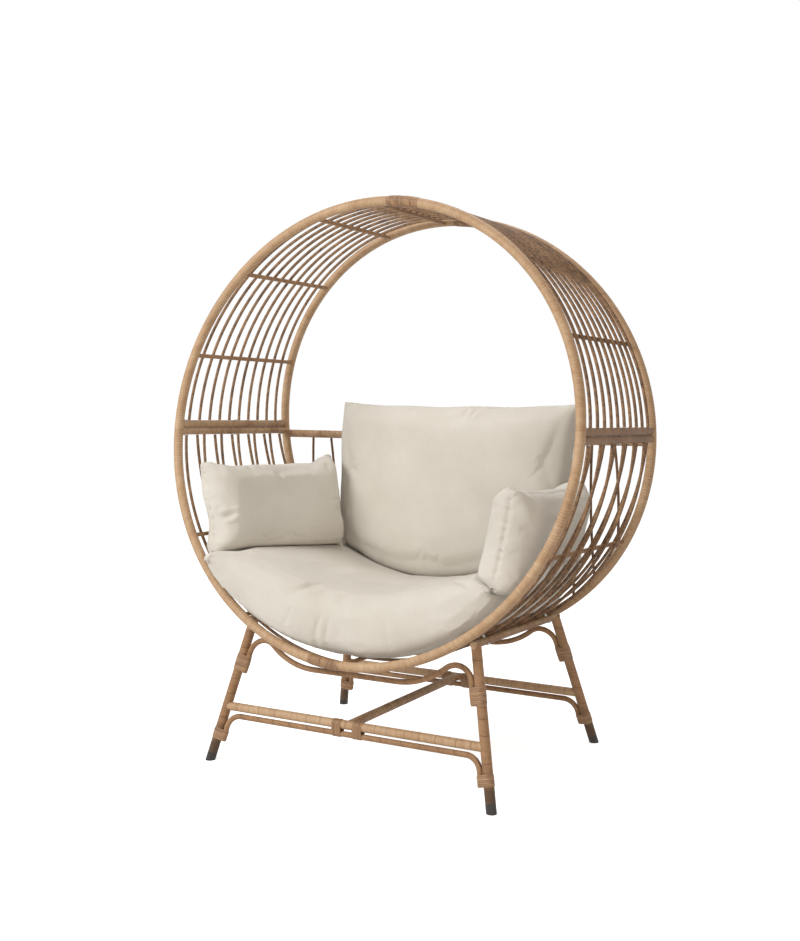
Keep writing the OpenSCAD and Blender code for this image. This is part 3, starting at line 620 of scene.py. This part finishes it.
def back_place(u, v, skin):
    """The back cushion: it stands on the seat and leans on the back rail, u to the right and v
    upwards."""
    rail = from_drum(0.0, HALF_DEPTH, -BACK_RAIL_DROP)
    rail_front = rail[1] + BACK_RAIL_DROP * math.sin(HOOP_TILT) - BACK_RAIL_D / 2
    hollow = from_drum(SEAT_TOP_MIDDLE * math.sin(SEAT_SLIDE), 0.0,
                       SEAT_TOP_MIDDLE * math.cos(SEAT_SLIDE))
    width = BACK_W * (1 - BACK_TAPER * (1 - v) / 2) * (1 - DRAW_IN / 2 * (1 - v**2))
    x = BACK_SHIFT + u * width / 2
    low = hollow[2] - np.sqrt(SEAT_TOP_R**2 - (x - hollow[0]) ** 2) - BACK_FOOT_SINK
    high = BACK_TOP - BACK_TOP_DIP * (1 - u**2)
    z = low + (v + 1) / 2 * (high - low)
    middle = rail_front - BACK_T / 2 - 2 * CUSHION_GAP + (z - rail[2]) * math.tan(BACK_LEAN)
    y = middle - skin * BACK_T / 2 * fullness(u, v, BACK_POWERS)
    return np.stack([x, y, z], axis=-1)


PILLOW_POWERS = (12, 6)
PILLOW_SIZE = (0.446, 0.126, 0.260)
PILLOW_LEAN = math.radians(12)


def pillow_place(middle, toe, side, slump):
    """The place function of a side pillow, with u to the rear and v upwards: its middle, toe-out
    and side (LEFT or RIGHT), and how far its rear top corner has sunk."""
    length, thickness, width = PILLOW_SIZE

    def place(u, v, skin):
        x = skin * thickness / 2 * fullness(u, v, PILLOW_POWERS)
        y = u * length / 2 * (1 - DRAW_IN / 2 * (1 - v**2))
        sunk = slump * ((1 + v) * (1 + u) / 4) ** 1.3
        z = v * width / 2 * (1 - DRAW_IN * (1 - u**2)) - sunk
        x, z = (x * math.cos(PILLOW_LEAN) + z * math.sin(PILLOW_LEAN),
                z * math.cos(PILLOW_LEAN) - x * math.sin(PILLOW_LEAN))
        x, y = (x * math.cos(toe) - y * math.sin(toe), x * math.sin(toe) + y * math.cos(toe))
        return np.stack([middle[0] + side * x, middle[1] + y, middle[2] + z], axis=-1)

    return place


SPACING = 0.009  # edge length of the mesh that the cloth simulation runs on
SECTION_POINTS = 4000


def even_steps(length, thickness, power, finer):
    """Values from -1 to 1 whose points lie evenly spaced over a section of a cushion. finer is how
    many of them go into one spacing."""
    turn = np.linspace(0, np.pi / 2, SECTION_POINTS)
    out, high = np.cos(turn) ** (2 / power), np.sin(turn) ** (2 * EDGE_POWER)
    steps = np.hypot(np.diff(out) * length / 2, np.diff(high) * thickness / 2)
    run = np.concatenate([[0.0], np.cumsum(steps)])
    count = finer * int(run[-1] / SPACING) + 1
    half = np.interp(np.linspace(0, run[-1], count), run, out)
    return np.concatenate([-half, half[-2::-1]])


class Grid:
    """A cushion's two skins, which share their outline: coordinates u, v and skin of the vertices,
    their steps along both ways of the grid, the outline's vertices in order, and the faces."""

    def __init__(self, size, powers, finer=1):
        across = even_steps(size[0], size[1], powers[0], finer)
        along = even_steps(size[2], size[1], powers[1], finer)
        self.wide, self.high = len(across), len(along)
        columns, rows = self.wide - 1, self.high - 1
        u, v = np.meshgrid(across, along)
        self.u, self.v = self.joined(u, u), self.joined(v, v)
        self.skin = self.joined(np.ones_like(u), -np.ones_like(u))
        row, column = np.indices(u.shape)
        steps = [self.joined(column, column), self.joined(row, row)]
        self.step = np.stack(steps, axis=-1) / finer
        self.outline = np.concatenate([
            np.arange(columns), np.arange(rows) * self.wide + columns,
            rows * self.wide + np.arange(columns, 0, -1), np.arange(rows, 0, -1) * self.wide,
        ])
        self.faces = []
        for j in range(rows):
            for i in range(columns):
                cell = [(i, j), (i + 1, j), (i + 1, j + 1), (i, j + 1)]
                self.faces.append([b * self.wide + a for a, b in cell])
                self.faces.append([self.behind(a, b) for a, b in reversed(cell)])

    def behind(self, i, j):
        """Index of the rear skin's vertex i, j, which on the outline is the front skin's own."""
        if i in (0, self.wide - 1) or j in (0, self.high - 1):
            return j * self.wide + i
        return self.wide * self.high + (j - 1) * (self.wide - 2) + i - 1

    def joined(self, front, back):
        """Values at the vertices, from a rectangle of values for each skin."""
        rest = front.shape[2:]
        return np.concatenate([front.reshape(-1, *rest), back[1:-1, 1:-1].reshape(-1, *rest)])

    def sheets(self, values):
        """A rectangle of values for each skin, from the values at the vertices."""
        rest = values.shape[1:]
        front = values[:self.wide * self.high].reshape(self.high, self.wide, *rest)
        back = front.copy()
        back[1:-1, 1:-1] = values[self.wide * self.high:].reshape(
            self.high - 2, self.wide - 2, *rest)
        return front, back


def doubled(values):
    """A rectangle of values with the averages of neighbours put in between them."""
    for axis in (0, 1):
        rows = np.moveaxis(values, axis, 0)
        finer = np.empty((2 * len(rows) - 1, *rows.shape[1:]))
        finer[::2] = rows
        finer[1::2] = (rows[:-1] + rows[1:]) / 2
        values = np.moveaxis(finer, 0, axis)
    return values


def tree_of(names):
    """Search tree of the CAD solids of these nodes."""
    points, faces = [], []
    for name in names:
        mesh = nodes[name].data
        base = len(points)
        points += [v.co.copy() for v in mesh.vertices]
        faces += [[base + i for i in p.vertices] for p in mesh.polygons]
    return BVHTree.FromPolygons(points, faces)


RIGID_SHARE = 0.93  # of the gap to a rigid piece, which a cover may fill
SOFT_SHARE = 0.48  # of the gap to another cushion, whose cover may fill as much


def keep_in_space(points, proud, own, rigid, soft):
    """Brings back the points that stand further out of the CAD solid than their limit in proud, or
    that fill more than their share of the gap to another piece."""
    kept = points.copy()
    for index, (point, most) in enumerate(zip(points, proud)):
        p = Vector(point)
        near, normal, _, _ = own.find_nearest(p)
        limit = min(most, RIGID_SHARE * rigid.find_nearest(near)[3],
                    SOFT_SHARE * soft.find_nearest(near)[3])
        out = (p - near).dot(normal)
        if out > limit:
            kept[index] = near + (p - near) * (limit / out)
    return kept


def coordinates(mesh):
    """Places of a mesh's vertices, one a row."""
    flat = np.empty(len(mesh.vertices) * 3, np.float32)
    mesh.vertices.foreach_get("co", flat)
    return flat.reshape(-1, 3).astype(float)


SIM_FRAMES = 20
CLOTH_PRESSURE = 4.0


def inflate(made, slack):
    """Places of a cover's vertices after it has run as cloth under inner pressure. slack is how
    much too large the cloth is, as a share."""
    cloth = made.modifiers.new("cover", "CLOTH")
    settings = cloth.settings
    settings.quality = 6
    settings.mass = 0.25
    settings.tension_stiffness = 18
    settings.compression_stiffness = 18
    settings.shear_stiffness = 6
    settings.bending_stiffness = 0.35
    settings.air_damping = 4
    settings.use_pressure = True
    settings.uniform_pressure_force = CLOTH_PRESSURE
    settings.shrink_min = -slack
    settings.effector_weights.gravity = 0
    scene = bpy.context.scene
    cloth.point_cache.frame_end = SIM_FRAMES
    for step in range(1, SIM_FRAMES + 1):
        scene.frame_set(step)
    shape = made.evaluated_get(bpy.context.evaluated_depsgraph_get()).to_mesh()
    points = coordinates(shape)
    made.modifiers.remove(cloth)
    scene.frame_set(1)
    return points


def ripple(s, wavelength, seed):
    """Uneven wave along s, between about -1 and 1."""
    waves = np.random.default_rng(seed)
    total = np.zeros_like(s)
    for _ in range(5):
        length = wavelength * waves.uniform(0.6, 1.7)
        total += np.sin(2 * np.pi * s / length + waves.uniform(0, 2 * np.pi)) / 2.6
    slow = np.sin(2 * np.pi * s / (wavelength * 6.3) + waves.uniform(0, 6))
    return total * (0.65 + 0.35 * slow)


def bulge(away, reach):
    """Soft bump: 1 where away is 0, falling to nothing at about twice the reach."""
    return np.exp(-((away / reach) ** 2))


def nearest_on(line, points):
    """For each point, the index of the nearest point of a line, and the distance to it."""
    tree = KDTree(len(line))
    for index, spot in enumerate(line):
        tree.insert(spot, index)
    tree.balance()
    found = [tree.find(point) for point in points]
    return np.array([index for _, index, _ in found]), np.array([away for _, _, away in found])


SPOTS_PER_LEG = 30
LIP_PLACE = 2.1  # distance of a crease's lip from its middle, in widths of the crease
LIP_HEIGHT = 0.5  # as a share of the crease's depth


def fold(points, place, path, depth, width):
    """A crease with a soft lip beside it, along a path of (u, v, skin) stops on the cushion."""
    stops = np.array(path, float)
    spots = [np.linspace(a, b, SPOTS_PER_LEG) for a, b in zip(stops, stops[1:])]
    spots = np.concatenate(spots)
    line = place(spots[:, 0], spots[:, 1], np.where(spots[:, 2] > 0, 1, -1))
    nearest, away = nearest_on(line, points)
    fade = np.sin(np.pi * np.clip(nearest / (len(line) - 1), 0.03, 0.97))
    x = away / width
    return -depth * fade * (bulge(x, 1) - LIP_HEIGHT * bulge(x - LIP_PLACE, 1))


# ---- Making a cushion ----


def normals_of(points, faces):
    """Unit normals at the vertices of a mesh of quads."""
    corner = points[np.array(faces)]
    across = np.cross(corner[:, 2] - corner[:, 0], corner[:, 3] - corner[:, 1])
    total = np.zeros_like(points)
    for k in range(4):
        np.add.at(total, np.array(faces)[:, k], across)
    return total / np.maximum(1e-12, np.linalg.norm(total, axis=1))[:, None]


def seam_distance(points, grid):
    """Distance of each vertex from the outline seam, its place along the seam and its distance
    from the nearest corner of the cushion."""
    seam = points[grid.outline]
    run = np.concatenate([[0], np.cumsum(np.linalg.norm(np.diff(seam, axis=0), axis=1))])
    at_end = np.minimum(np.abs(grid.u), np.abs(grid.v))[grid.outline] > 0.999
    corners = seam[at_end]
    nearest, away = nearest_on(seam, points)
    return away, run[nearest], nearest_on(corners, points)[1]


def swell(points, wavelength, seed):
    """Soft, uneven swelling of a stuffed cover, between about -1 and 1."""
    waves = np.random.default_rng(seed)
    total = np.zeros(len(points))
    for _ in range(9):
        way = waves.normal(size=3)
        way /= np.linalg.norm(way) * wavelength * waves.uniform(0.7, 1.6)
        total += np.sin(2 * np.pi * points @ way + waves.uniform(0, 2 * np.pi))
    return total / 3


# How deep a cover's relief is, in metres: the puckers and the groove of its seam, its drawn-out
# corners and the swelling of its faces
Relief = namedtuple("Relief", "pucker groove ear swelling")

PUCKER_WAVE, PUCKER_REACH = 0.030, 0.030
FINE_WAVE, FINE_REACH = 0.013, 0.012
SKIN_WAVE = 0.05  # the puckers are deeper on one skin, then on the other
FLAT_BY_SEAM = 0.006
CORNER_REACH = 0.07
GROOVE_REACH = 0.005
STITCH_PITCH, STITCH_DRIFT, STITCH_REACH = 0.027, 0.09, 0.010
EAR_REACH = 0.032
SWELL_WAVE = 0.15


def seam_relief(points, grid, seed, relief):
    """How far the seam draws the cover in or out: its groove, the puckers beside it and the
    pointed corners."""
    away, run, corner = seam_distance(points, grid)
    fine = 0.5 * ripple(run, FINE_WAVE, seed + 1) * np.exp(-away / FINE_REACH)
    pull = ripple(run, PUCKER_WAVE, seed) + fine
    strength = relief.pucker * (0.7 + 1.2 * np.exp(-corner / CORNER_REACH))
    side = 1 + 0.35 * grid.skin * ripple(run, SKIN_WAVE, seed + 2)
    near_seam = np.exp(-away / PUCKER_REACH)
    puckers = strength * pull * side * near_seam * (1 - bulge(away, FLAT_BY_SEAM))
    drift = 1.5 * ripple(run, STITCH_DRIFT, seed + 3)
    stitches = np.maximum(0, np.sin(2 * np.pi * run / STITCH_PITCH + drift)) ** 4
    drawn = bulge(away, GROOVE_REACH) + 1.2 * stitches * bulge(away, STITCH_REACH)
    return puckers - relief.groove * drawn + relief.ear * bulge(corner, EAR_REACH)


SEAT_SAG, SEAT_RISE = 0.011, 0.010
BACK_SWELL = 0.010
PILLOW_SAG, PILLOW_SWELL = 0.012, 0.012


def seat_lean(u, v, skin):
    """The seat's front sags over the hoop, and its ends rise against the pillows."""
    ends = (1 + np.tanh((np.abs(u) - 0.6) / 0.15)) / 2
    ends = ends * (1 - u**12) * (1 - v**8)
    return SEAT_SAG * bulge(1 + v, 0.18) + np.where(skin > 0, SEAT_RISE * ends, 0)


def back_lean(u, v, skin):
    """The back cushion's left side swells, but not its top corner."""
    return BACK_SWELL * bulge(1 + u, 0.12) * (1 - bulge(1 - v, 0.35))


def pillow_lean(u, v, skin):
    """A pillow sags onto the seat, and its rear end meets the back cushion."""
    return PILLOW_SAG * bulge(1 + v, 0.35) + PILLOW_SWELL * bulge(1 - u, 0.15)


PROUD = 0.012  # how far a cushion's cover may stand out of its CAD solid
BACK_RAIL_ROOM = 0.0008  # and the back's flat rear, which slides up past the back rail
START_INSET = 0.004  # how much smaller than that solid the cover starts
INFLATION = 0.012  # how far the pressure may move the cover
SINK = 0.0015  # and how far of that inwards


def inflation(name, place, size, powers, slack, mirrored):
    """How far the pressure moves the cover, as a sheet of offsets for each skin of a grid with half
    the spacing."""
    grid = Grid(size, powers)
    faces = [face[::-1] for face in grid.faces] if mirrored else grid.faces
    full = place(grid.u, grid.v, grid.skin)
    normals = normals_of(full, faces)
    start = full - START_INSET * normals
    cover = mesh_object(name + "_start", start, faces)
    moved = inflate(cover, slack) - start
    bpy.data.objects.remove(cover)
    far = np.linalg.norm(moved, axis=1)[:, None]
    moved *= np.minimum(1, INFLATION / np.maximum(far, 1e-9))
    outwards = (moved * normals).sum(axis=1)
    moved += normals * np.maximum(0, -SINK - outwards)[:, None]
    return [doubled(sheet) for sheet in grid.sheets(moved)]


def make_cushion(
    name, place, size, powers, seed, relief, lean, folds, slack=0.03, mirrored=False,
    rear_proud=PROUD,
):
    """A stuffed canvas cover in place of a CAD cushion. size is its length, thickness and width,
    and powers are its fullness's; lean(u, v, skin) is how far the cover bulges against what it
    leans on; folds are creases, each a path, a depth and a width; mirrored is set where place
    mirrors the faces; rear_proud is how far skin -1 may stand out."""
    grid = Grid(size, powers, finer=2)
    faces = [face[::-1] for face in grid.faces] if mirrored else grid.faces
    cad = tree_of([name])
    rigid = tree_of([other for other in nodes if other not in SOFT])
    soft = tree_of([other for other in SOFT if other != name])
    points = place(grid.u, grid.v, grid.skin)
    proud = np.where(grid.skin > 0, PROUD, rear_proud)
    points = points + grid.joined(*inflation(name, place, size, powers, slack, mirrored))
    points = keep_in_space(points, proud, cad, rigid, soft)
    height = seam_relief(points, grid, seed, relief)
    height += relief.swelling * swell(points, SWELL_WAVE, seed + 5)
    height += lean(grid.u, grid.v, grid.skin)
    for path, depth, width in folds:
        height += fold(points, place, path, depth, width)
    points = points + normals_of(points, faces) * height[:, None]
    points = keep_in_space(points, proud, cad, rigid, soft)

    made = mesh_object(name + "_cover", points, faces)
    lay_cloth(made, grid)
    made.data.materials.append(canvas)
    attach(made, name)
    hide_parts(name)


def lay_cloth(made, grid):
    """The uv map "cloth", in metres along the two ways of the grid."""
    layer = made.data.uv_layers.new(name="cloth")
    loops = np.empty(len(made.data.loops), np.int32)
    made.data.loops.foreach_get("vertex_index", loops)
    places = grid.step * SPACING
    layer.data.foreach_set("uv", places[loops].astype(np.float32).ravel())


# ---- Camera, light and floor ----

CAMERA_PLACE = (1.785, -3.141, 1.102)
CAMERA_WAY = Vector((-0.49764924, 0.86438581, -0.07198898))
CAMERA_LENS = 47.01
SKY = 0.40  # brightness of the background as a light; the camera sees it at 1
SKY_COLOUR = (1, 0.97, 0.93)
FLOOR_REACH = 60
FLOOR_GREY = 0.78
FLOOR_GLOW = 0.72  # lifts the floor to white where the camera sees it
CHAIR_MIDDLE = (0, 0, 0.8)
KEY_PLACE, FILL_PLACE, TOP_PLACE = (-2.6, -3.6, 3.3), (3.2, -3.0, 1.6), (0.3, 0.6, 3.8)
FILL_COLOUR = (1, 0.91, 0.82)
WHITE = (1, 1, 1)


def make_camera():
    """The photo's own viewpoint."""
    data = bpy.data.cameras.new("photo_camera")
    data.lens = CAMERA_LENS
    made = bpy.data.objects.new("photo_camera", data)
    made.location = CAMERA_PLACE
    made.rotation_euler = CAMERA_WAY.to_track_quat("-Z", "Y").to_euler()
    bpy.context.scene.collection.objects.link(made)
    bpy.context.scene.camera = made


def area_light(name, place, size, power, colour=WHITE):
    """Round lamp that points at the chair's middle."""
    data = bpy.data.lights.new(name, "AREA")
    data.shape = "DISK"
    data.size = size
    data.energy = power
    data.color = colour
    made = bpy.data.objects.new(name, data)
    made.location = place
    way = Vector(CHAIR_MIDDLE) - Vector(place)
    made.rotation_euler = way.to_track_quat("-Z", "Y").to_euler()
    bpy.context.scene.collection.objects.link(made)


def seen_directly(n):
    """1 where the camera sees a surface itself or in a mirror or glass."""
    path = n.add("ShaderNodeLightPath").outputs
    return n.math("MAXIMUM", path["Is Camera Ray"],
                  n.math("MAXIMUM", path["Is Glossy Ray"], path["Is Transmission Ray"]))


def make_world():
    """White background, which lights the chair less and warmer than it looks."""
    world = bpy.data.worlds.new("studio")
    world.use_nodes = True
    bpy.context.scene.world = world
    n = Nodes(world.node_tree)
    direct = seen_directly(n)
    strength = n.math("ADD", n.math("MULTIPLY", direct, 1 - SKY), SKY)
    colour = n.mix(direct, SKY_COLOUR, WHITE)
    background = n.add("ShaderNodeBackground", {"Color": colour, "Strength": strength})
    n.add("ShaderNodeOutputWorld", {"Surface": background.outputs[0]})


def make_floor():
    """Pale floor that shows white, with the chair's shadow left on it."""
    mesh = bpy.data.meshes.new("studio_floor")
    corners = [(-1, -1, 0), (1, -1, 0), (1, 1, 0), (-1, 1, 0)]
    mesh.from_pydata([FLOOR_REACH * Vector(c) for c in corners], [], [(0, 1, 2, 3)])
    floor = bpy.data.objects.new("studio_floor", mesh)
    bpy.context.scene.collection.objects.link(floor)
    material, n = new_material("studio_floor")
    grey = (FLOOR_GREY, FLOOR_GREY, FLOOR_GREY, 1)
    diffuse = n.add("ShaderNodeBsdfDiffuse", {"Color": grey})
    strength = n.math("MULTIPLY", seen_directly(n), FLOOR_GLOW)
    glow = n.add("ShaderNodeEmission", {"Color": (*WHITE, 1), "Strength": strength})
    both = n.add("ShaderNodeAddShader", {0: diffuse.outputs[0], 1: glow.outputs[0]})
    n.add("ShaderNodeOutputMaterial", {"Surface": both.outputs[0]})
    mesh.materials.append(material)


def light_studio():
    area_light("key", KEY_PLACE, size=2.4, power=188)
    area_light("fill", FILL_PLACE, size=2.5, power=42, colour=FILL_COLOUR)
    area_light("top", TOP_PLACE, size=2.2, power=40)
    make_world()
    make_floor()


# ---- The chair ----

# Creases of the cushions: a path of (u, v, skin) stops, the depth and the width, in metres
SEAT_FOLDS = [
    ([(-0.42, -0.96, 1), (-0.28, -0.74, 1), (0.06, -0.46, 1)], 0.0130, 0.012),
    ([(-0.08, -0.95, 1), (0.02, -0.74, 1), (0.24, -0.44, 1)], 0.0110, 0.012),
    ([(0.72, -0.70, 1), (0.86, -0.90, 1), (0.93, -0.99, 1)], 0.0080, 0.010),
    ([(0.80, -0.40, 1), (0.92, -0.70, 1), (0.97, -0.97, 1)], 0.0040, 0.009),
    ([(-0.37, -0.99, 1), (-0.37, -1, 1), (-0.36, -0.98, -1), (-0.35, -0.85, -1)], 0.0020, 0.007),
    ([(-0.17, -0.985, 1), (-0.17, -1, 1), (-0.16, -0.98, -1), (-0.16, -0.85, -1)], 0.0024, 0.007),
    ([(-0.10, -0.99, 1), (-0.10, -1, 1), (-0.09, -0.98, -1), (-0.09, -0.85, -1)], 0.0018, 0.0065),
    ([(-0.60, -0.55, 1), (-0.50, -0.25, 1), (-0.30, 0.0, 1)], 0.0050, 0.035),
    ([(0.30, -0.99, 1), (0.31, -1, 1), (0.30, -0.98, -1)], 0.0018, 0.010),
    ([(-0.95, 0.2, 1), (-0.85, -0.2, 1), (-0.80, -0.6, 1)], 0.0030, 0.012),
]
BACK_FOLDS = [
    ([(0.16, 0.99, 1), (0.14, 0.93, 1), (0.11, 0.86, 1)], 0.0040, 0.008),
    ([(0.24, 0.99, 1), (0.20, 0.92, 1), (0.17, 0.87, 1)], 0.0035, 0.008),
    ([(-0.97, 0.97, 1), (-0.90, 0.88, 1), (-0.84, 0.76, 1)], 0.0025, 0.012),
    ([(-0.30, 0.99, 1), (-0.32, 0.93, 1)], 0.0020, 0.010),
]
LEFT_FOLDS = [
    ([(-0.99, -0.22, -1), (-0.90, -0.20, -1), (-0.74, -0.16, -1)], 0.0085, 0.008),
    ([(-0.70, 0.97, 1), (-0.66, 0.85, 1)], 0.0035, 0.009),
    ([(-0.45, 0.98, -1), (-0.42, 0.85, -1)], 0.0035, 0.008),
    ([(-0.25, 0.98, -1), (-0.26, 0.84, -1)], 0.0035, 0.008),
    ([(0.90, 0.95, -1), (0.78, 0.70, -1)], 0.0040, 0.010),
    ([(-0.95, 0.95, -1), (-0.86, 0.72, -1)], 0.0040, 0.010),
]
RIGHT_FOLDS = [
    ([(-0.99, 0.70, -1), (-0.93, 0.62, -1), (-0.85, 0.50, -1)], 0.0040, 0.009),
    ([(-0.99, 0.30, 1), (-0.94, 0.34, 1), (-0.86, 0.30, 1)], 0.0040, 0.009),
    ([(-0.99, -0.20, -1), (-0.93, -0.26, -1)], 0.0035, 0.009),
    ([(-0.99, -0.60, 1), (-0.92, -0.66, 1)], 0.0035, 0.009),
    ([(-0.95, 0.95, 1), (-0.84, 0.70, 1)], 0.0045, 0.010),
]
SEAT_RELIEF = Relief(pucker=0.0008, groove=0.0006, ear=0.004, swelling=0.0030)
BACK_RELIEF = Relief(pucker=0.0005, groove=0.0016, ear=0.003, swelling=0.0022)
PILLOW_RELIEF = Relief(pucker=0.0022, groove=0.0040, ear=0.013, swelling=0.0024)
LEFT_MIDDLE, LEFT_TOE = (-0.423, -0.086, 0.7262), math.radians(20)
RIGHT_MIDDLE, RIGHT_TOE = (0.451, -0.072, 0.6921), 0


def make_cushions():
    make_cushion("seat_cushion", seat_place, SEAT_SIZE, SEAT_POWERS, 11, SEAT_RELIEF, seat_lean,
                 SEAT_FOLDS)
    make_cushion("back_cushion", back_place, BACK_SIZE, BACK_POWERS, 21, BACK_RELIEF, back_lean,
                 BACK_FOLDS, slack=0.0, rear_proud=BACK_RAIL_ROOM)
    left_place = pillow_place(LEFT_MIDDLE, LEFT_TOE, LEFT, slump=0.004)
    right_place = pillow_place(RIGHT_MIDDLE, RIGHT_TOE, RIGHT, slump=0.026)
    make_cushion("left_pillow", left_place, PILLOW_SIZE, PILLOW_POWERS, 31, PILLOW_RELIEF,
                 pillow_lean, LEFT_FOLDS, mirrored=True)
    make_cushion("right_pillow", right_place, PILLOW_SIZE, PILLOW_POWERS, 41, PILLOW_RELIEF,
                 pillow_lean, RIGHT_FOLDS)


canvas = canvas_material()
dress_frame()
make_bindings()
make_cushions()
make_camera()
light_studio()
bpy.context.scene.view_settings.view_transform = "Standard"
